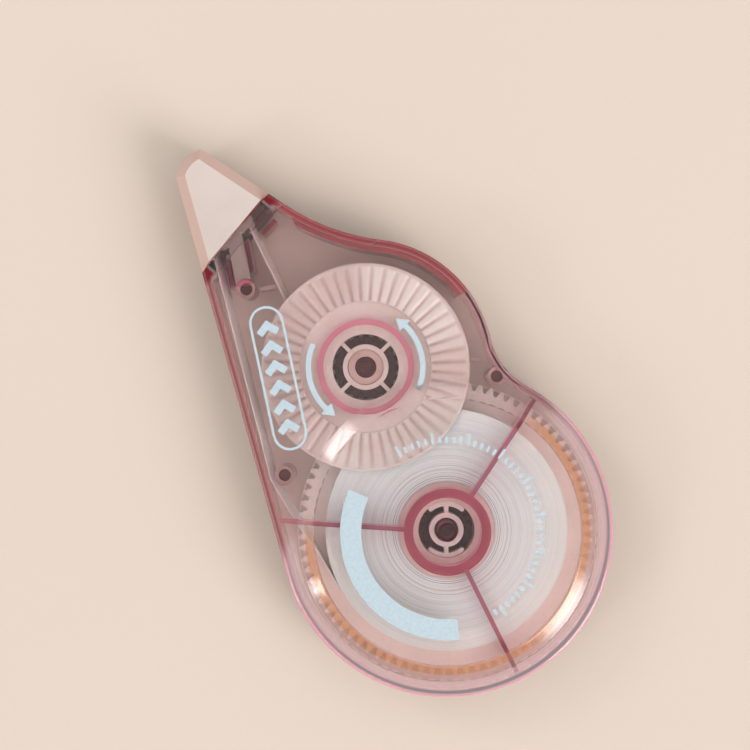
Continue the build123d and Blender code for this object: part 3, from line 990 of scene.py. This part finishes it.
ink_low = 0.006 * MM
ink_high = 0.036 * MM
band_radius = 19.7 * MM
band_width = 4.3 * MM
band_start = 130.0
band_end = 250.0
tick_count = 42
tick_start = 95.0
tick_spacing = 4.4
tick_group = 5
tick_radius = 18.2 * MM
tick_short = 1.3 * MM
tick_long = 2.3 * MM
tick_width = 0.6 * MM
turn_arrow_radius = 11.7 * MM
turn_arrow_width = 1.1 * MM
turn_arrow_start = 130.0
turn_arrow_sweep = 70.0
turn_arrow_tip = 12.0
turn_arrow_flare = 1.4
badge_centre = Vector((-17.0, 43.4, 0)) * MM
badge_angle = math.radians(75.7)
badge_length = 29.5 * MM
badge_width = 6.6 * MM
badge_line = 0.5 * MM
chevron_count = 6
chevron_spacing = 4.1 * MM
chevron_depth = 1.7 * MM
chevron_reach = 1.9 * MM
chevron_width = 1.5 * MM


def arc(centre, radius, start, end, steps=48):
    """Points along an arc between two angles in degrees."""
    turns = [math.radians(start + (end - start) * i / steps) for i in range(steps + 1)]
    return [polar(centre, radius, turn) for turn in turns]


def capsule(centre, direction, length, width, steps=12):
    """Points round a capsule whose long axis runs along a direction."""
    heading = math.atan2(direction[1], direction[0])
    half = (length - width) / 2
    points = []
    for side in (0, 1):
        turn = heading + side * math.pi
        middle_x = centre[0] + half * math.cos(turn)
        middle_y = centre[1] + half * math.sin(turn)
        for i in range(steps + 1):
            angle = turn - math.pi / 2 + math.pi * i / steps
            x = middle_x + width / 2 * math.cos(angle)
            y = middle_y + width / 2 * math.sin(angle)
            points.append((x, y))
    return points


def make_prints():
    """A broad band and a scale of ticks round the supply reel, turning arrows, and a row of chevrons."""
    ink = printed_ink()
    on_plateau = (plateau_height + ink_low, plateau_height + ink_high)
    on_deck = (deck_height + ink_low, deck_height + ink_high)
    marks = [strip(arc(supply_axis, band_radius, band_start, band_end), band_width, *on_plateau)]
    for tick in range(tick_count):
        turn = math.radians(tick_start - tick * tick_spacing)
        reach = tick_long if tick % tick_group == 0 else tick_short
        path = [polar(supply_axis, tick_radius, turn), polar(supply_axis, tick_radius + reach, turn)]
        marks.append(strip(path, tick_width, *on_plateau))
    new_piece("printed_scale", merged(marks), ink, "case")

    marks = []
    for start in (turn_arrow_start, turn_arrow_start + 180):
        end = start + turn_arrow_sweep
        shaft = arc(take_up_axis, turn_arrow_radius, start, end)
        marks.append(strip(shaft, turn_arrow_width, *on_deck))
        tip = polar(take_up_axis, turn_arrow_radius, math.radians(end + turn_arrow_tip))
        flare = turn_arrow_flare * turn_arrow_width
        inner = polar(take_up_axis, turn_arrow_radius - flare, math.radians(end))
        outer = polar(take_up_axis, turn_arrow_radius + flare, math.radians(end))
        marks.append(plate([inner, outer, tip], *on_deck))
    new_piece("printed_turn_arrows", merged(marks), ink, "case")

    along = Vector((math.cos(badge_angle), math.sin(badge_angle), 0))
    across = Vector((-along.y, along.x, 0))
    border = capsule(badge_centre, along, badge_length, badge_width)
    marks = [strip(border, badge_line, *on_deck, closed=True)]
    for chevron in range(chevron_count):
        offset = (chevron - (chevron_count - 1) / 2) * chevron_spacing
        nose = badge_centre + along * (offset + chevron_depth / 2)
        left = badge_centre + along * (offset - chevron_depth / 2) + across * chevron_reach
        right = badge_centre + along * (offset - chevron_depth / 2) - across * chevron_reach
        path = [(point.x, point.y) for point in (left, nose, right)]
        marks.append(strip(path, chevron_width, *on_deck))
    new_piece("printed_chevrons", merged(marks), ink, "case")


make_prints()

# ---- Floor, light and camera ----

floor_size = 3.0
floor_gap = 0.05 * MM
camera_place = (1.0 * MM, 35.2 * MM, 290 * MM)
camera_lens = 65.3
camera_sensor = 36.0
camera_roll = math.radians(26.4)
image_right = Vector((math.cos(camera_roll), -math.sin(camera_roll), 0.0))
image_up = Vector((math.sin(camera_roll), math.cos(camera_roll), 0.0))


def make_floor():
    """A level sheet of card just under the roller."""
    place = (supply_axis.x, supply_axis.y, cad_low.z - floor_gap)
    bpy.ops.mesh.primitive_plane_add(size=floor_size, location=place)
    floor = bpy.context.object
    floor.name = "floor"
    assign(floor, floor_card())


def make_camera():
    """Straight down, turned so that the tip points to the upper left."""
    data = bpy.data.cameras.new("camera")
    data.lens = camera_lens
    data.sensor_width = camera_sensor
    camera = bpy.data.objects.new("camera", data)
    bpy.context.scene.collection.objects.link(camera)
    turn = Matrix((image_right, image_up, Vector((0, 0, 1)))).transposed().to_4x4()
    camera.matrix_world = Matrix.Translation(camera_place) @ turn
    bpy.context.scene.camera = camera


def towards(azimuth, elevation):
    """Direction at an azimuth from the image's right and an elevation above the floor, in degrees."""
    turn, rise = math.radians(azimuth), math.radians(elevation)
    level = image_right * math.cos(turn) + image_up * math.sin(turn)
    return level * math.cos(rise) + Vector((0, 0, math.sin(rise)))


# Each patch of light is (half angle, blur, strength); a window's azimuth and elevation come first.
room_light = 0.58
room_colour = (1.0, 0.985, 0.97, 1.0)
ceiling = (55, 30, 0.87)
ceiling_shade = (22, 8, 0.92)
windows = [
    (-38, 30, (16, 4, 11.5)),
    (-38, 50, (35, 20, 0.45)),
    (212, 28, (6, 1.5, 14.0)),
    (200, 35, (25, 15, 0.7)),
    (144, 34, (9, 2, 6.5)),
]


def make_world():
    """A soft pale room, with a bright window low at the image's lower right and two to the left."""
    world = bpy.data.worlds.new("studio")
    bpy.context.scene.world = world
    world.use_nodes = True
    tree = world.node_tree
    background = tree.nodes["Background"]
    place = tree.nodes.new("ShaderNodeTexCoord")

    def window(direction, half_angle, blur, strength):
        """A round patch of light with a soft edge; angles in degrees."""
        dot = tree.nodes.new("ShaderNodeVectorMath")
        dot.operation = "DOT_PRODUCT"
        tree.links.new(place.outputs["Generated"], dot.inputs[0])
        dot.inputs[1].default_value = direction
        soft = tree.nodes.new("ShaderNodeMapRange")
        soft.interpolation_type = "SMOOTHSTEP"
        tree.links.new(dot.outputs["Value"], soft.inputs["Value"])
        soft.inputs["From Min"].default_value = math.cos(math.radians(half_angle + blur))
        soft.inputs["From Max"].default_value = math.cos(math.radians(max(half_angle - blur, 0)))
        soft.inputs["To Max"].default_value = strength
        return soft.outputs[0]

    def combine(operation, first, second):
        """A sum, difference or product of two numbers or sockets."""
        made = tree.nodes.new("ShaderNodeMath")
        made.operation = operation
        for socket, value in zip(made.inputs, (first, second)):
            if isinstance(value, bpy.types.NodeSocket):
                tree.links.new(value, socket)
            else:
                socket.default_value = value
        return made.outputs[0]

    zenith = Vector((0, 0, 1))
    total = combine("ADD", window(zenith, *ceiling), room_light)
    total = combine("MULTIPLY", total, combine("SUBTRACT", 1.0, window(zenith, *ceiling_shade)))
    lights = [window(towards(azimuth, elevation), *patch) for azimuth, elevation, patch in windows]
    for light in lights:
        total = combine("ADD", total, light)
    tree.links.new(total, background.inputs["Strength"])
    background.inputs["Color"].default_value = room_colour


make_floor()
make_camera()
make_world()
scene = bpy.context.scene
scene.view_settings.view_transform = "Standard"
scene.cycles.transmission_bounces = 16
scene.cycles.max_bounces = 20
scene.cycles.transparent_max_bounces = 16
